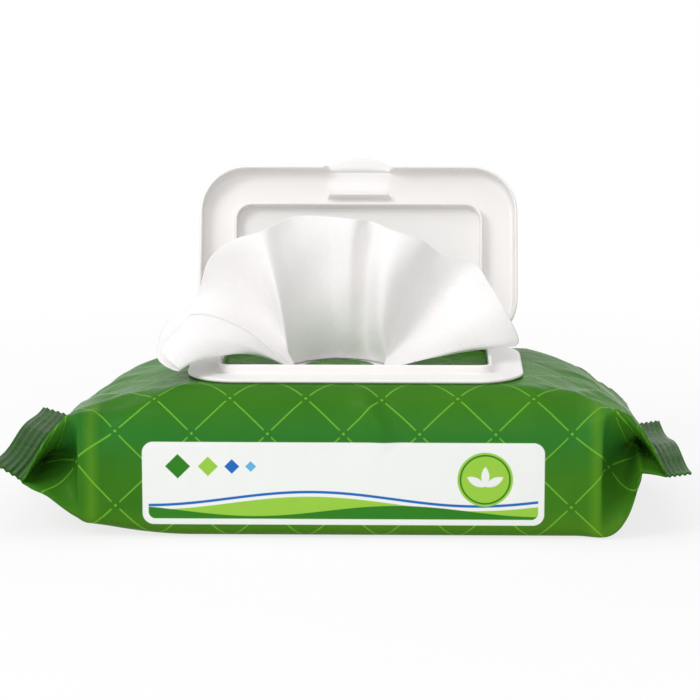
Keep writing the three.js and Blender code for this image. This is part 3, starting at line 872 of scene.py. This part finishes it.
def build_cloth():
    """The pulled cloth, in one piece with the rest of it that lies folded on the stack.

    What stands out of the slot is cubic curves for its ribs, joined smoothly across, with small soft
    ripples that fade towards the slot. Under the film, straight lines lead from the ribs' feet to the rear,
    and from there the cloth is carried along the path of the folded runs."""
    columns, rows = 253, 84
    up = np.linspace(0, 1, rows)[None, :, None]
    foot, low, high, tip = (RIBS[:, k, None, :] for k in range(4))
    ribs = (1 - up) ** 3 * foot + 3 * up * (1 - up) ** 2 * low + 3 * up**2 * (1 - up) * high + up**3 * tip
    fan = across_ribs(ribs, columns)
    u = np.linspace(0, CLOTH_WIDTH, columns)[:, None]
    v = np.linspace(0, 64, rows)[None, :]
    normal = np.cross(np.gradient(fan, axis=0), np.gradient(fan, axis=1))
    normal /= np.maximum(np.linalg.norm(normal, axis=-1, keepdims=True), 1e-9)
    ripple = 0.5 * np.sin(u / 4.1 + v / 9 + 1.3 * np.sin(v / 13)) + 0.4 * np.sin(u / 7.3 - v / 6.5 + 2)
    fan = fan + normal * (ripple * smooth(v, 10, 44))[..., None]

    t = np.linspace(0, 1, 16)[None, 1:]
    wide = FOLD_LEFT + (FOLD_RIGHT - FOLD_LEFT) * u / CLOTH_WIDTH
    start = fan[:, :1]
    lead = np.stack([
        start[..., 0] * (1 - t) + wide * t,
        start[..., 1] * (1 - t) + FOLD_REAR * t,
        FOLD_LEVELS[0] + (start[..., 2] - FOLD_LEVELS[0]) * (1 - t) ** 6,
    ], -1)
    run_y, run_z = folded_runs()
    runs = np.stack([wide + 0 * run_y, run_y + 0 * wide, run_z + 0 * wide], -1)
    points = np.concatenate([runs[:, ::-1], lead[:, ::-1], fan], 1)
    step = np.linalg.norm(np.diff(points, axis=1, prepend=points[:, :1]), axis=-1)
    uv = np.stack([u + 0 * step, np.cumsum(step, 1)], -1) * 0.001
    faces = quads(*points.shape[:2]).tolist()
    piece = make_piece("pulled_cloth", points, faces, cloth, "pack", ["pulled_wipe"], uv)
    thicken(piece, CLOTH_THICKNESS, 0)
    return piece


def build_stack():
    """The folded cloths still in the pouch: soft box sections a little inside the film, with flat ends."""
    x = np.linspace(-101, 100, 68)[:, None]
    top = np.minimum(film_top(x) - POUCH_TOP + STACK_TOP, STACK_TOP)
    half = POUCH_HALF - STACK_SIDE_GAP + 0 * x
    points = box_section(x, top, film_bottom(x) + STACK_GAP, half, 0 * x, 0 * x)
    points = end_set(points)
    rows, columns = points.shape[:2]
    faces = quads(rows, columns, closed_columns=True).tolist()
    faces.append(list(range(columns))[::-1])
    faces.append(list(range((rows - 1) * columns, rows * columns)))
    return make_piece("folded_cloths", points, faces, stack_material(), "pack", ["wipe_stack"])


# Pieces in place

pouch = build_pouch()
build_lid()
build_base()
build_hinge()
stack = build_stack()
pulled = build_cloth()
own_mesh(pulled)
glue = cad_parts["adhesive_ring"].data.materials
glue.clear()
glue.append(glue_material())


# Camera, light and floor

camera = bpy.data.objects.new("camera", bpy.data.cameras.new("camera"))
bpy.context.collection.objects.link(camera)
bpy.context.scene.camera = camera
azimuth, elevation, distance = math.radians(1.05), math.radians(12.24), 1.25
camera.location = (
    distance * math.sin(azimuth) * math.cos(elevation),
    -distance * math.cos(azimuth) * math.cos(elevation),
    0.04 + distance * math.sin(elevation),
)
camera.rotation_euler = (math.pi / 2 - elevation, 0, azimuth)
camera.data.lens = 155.8
camera.data.shift_x = 0.0051
camera.data.shift_y = 0.0894

floor_mesh = bpy.data.meshes.new("floor")
floor_mesh.from_pydata([(-6, -6, 0), (6, -6, 0), (6, 6, 0), (-6, 6, 0)], [], [(0, 1, 2, 3)])
floor = bpy.data.objects.new("floor", floor_mesh)
bpy.context.collection.objects.link(floor)


def seen_share(tree):
    """1 for rays from the camera or a mirror-like surface, as a Field."""
    path = tree.nodes.new("ShaderNodeLightPath")
    camera_ray, glossy_ray, through_ray = (
        Field(tree, path.outputs[name]) for name in ("Is Camera Ray", "Is Glossy Ray", "Is Transmission Ray")
    )
    return camera_ray.most(glossy_ray).most(through_ray)


def floor_material():
    """Pale floor: plain white to the eye, with a soft trace of the shadow on it."""
    material, tree, shader = new_material("pale_floor", Roughness=0.9)
    speckle = grain(tree, object_place(tree), 30, 0.3)
    colour = paint(tree, (0.86, 0.86, 0.86), (0.90, 0.90, 0.90), speckle)
    tree.links.new(colour, shader.inputs["Base Color"])
    glow = tree.nodes.new("ShaderNodeEmission")
    mix = tree.nodes.new("ShaderNodeMixShader")
    away = tree.nodes.new("ShaderNodeVectorMath")
    away.operation = "LENGTH"
    tree.links.new(object_place(tree), away.inputs[0])
    far = ((Field(tree, away.outputs["Value"]) - 0.18) * 3.2).math("ADD", 0, clamp=True)
    tree.links.new((seen_share(tree) * (far * 0.22 + 0.78)).socket, mix.inputs[0])
    tree.links.new(shader.outputs[0], mix.inputs[1])
    tree.links.new(glow.outputs[0], mix.inputs[2])
    tree.links.new(mix.outputs[0], tree.nodes["Material Output"].inputs["Surface"])
    return material


floor_mesh.materials.append(floor_material())

world = bpy.data.worlds.new("studio")
bpy.context.scene.world = world
world.use_nodes = True
sky = world.node_tree.nodes["Background"]
sky.inputs["Color"].default_value = (1, 1, 1, 1)
level = seen_share(world.node_tree) * 0.48 + 0.52
world.node_tree.links.new(level.socket, sky.inputs["Strength"])


def soft_lamp(name, place, aim, size, watts):
    """A square area lamp that faces a point."""
    light = bpy.data.lights.new(name, "AREA")
    light.size = size
    light.energy = watts
    lamp = bpy.data.objects.new(name, light)
    bpy.context.collection.objects.link(lamp)
    lamp.location = place
    back = np.array(place) - np.array(aim)
    tip_back = math.atan2(math.hypot(back[0], back[1]), back[2])
    lamp.rotation_euler = (tip_back, 0, math.atan2(back[0], -back[1]))


soft_lamp("key", (-0.85, -0.75, 1.0), (0, 0, 0.05), 0.6, 8.5)
soft_lamp("fill", (0.1, -1.4, 0.45), (0, 0, 0.08), 0.9, 4)
soft_lamp("over", (0.0, 0.05, 1.25), (0, 0, 0.05), 0.9, 3.5)

bpy.context.scene.view_settings.view_transform = "Standard"
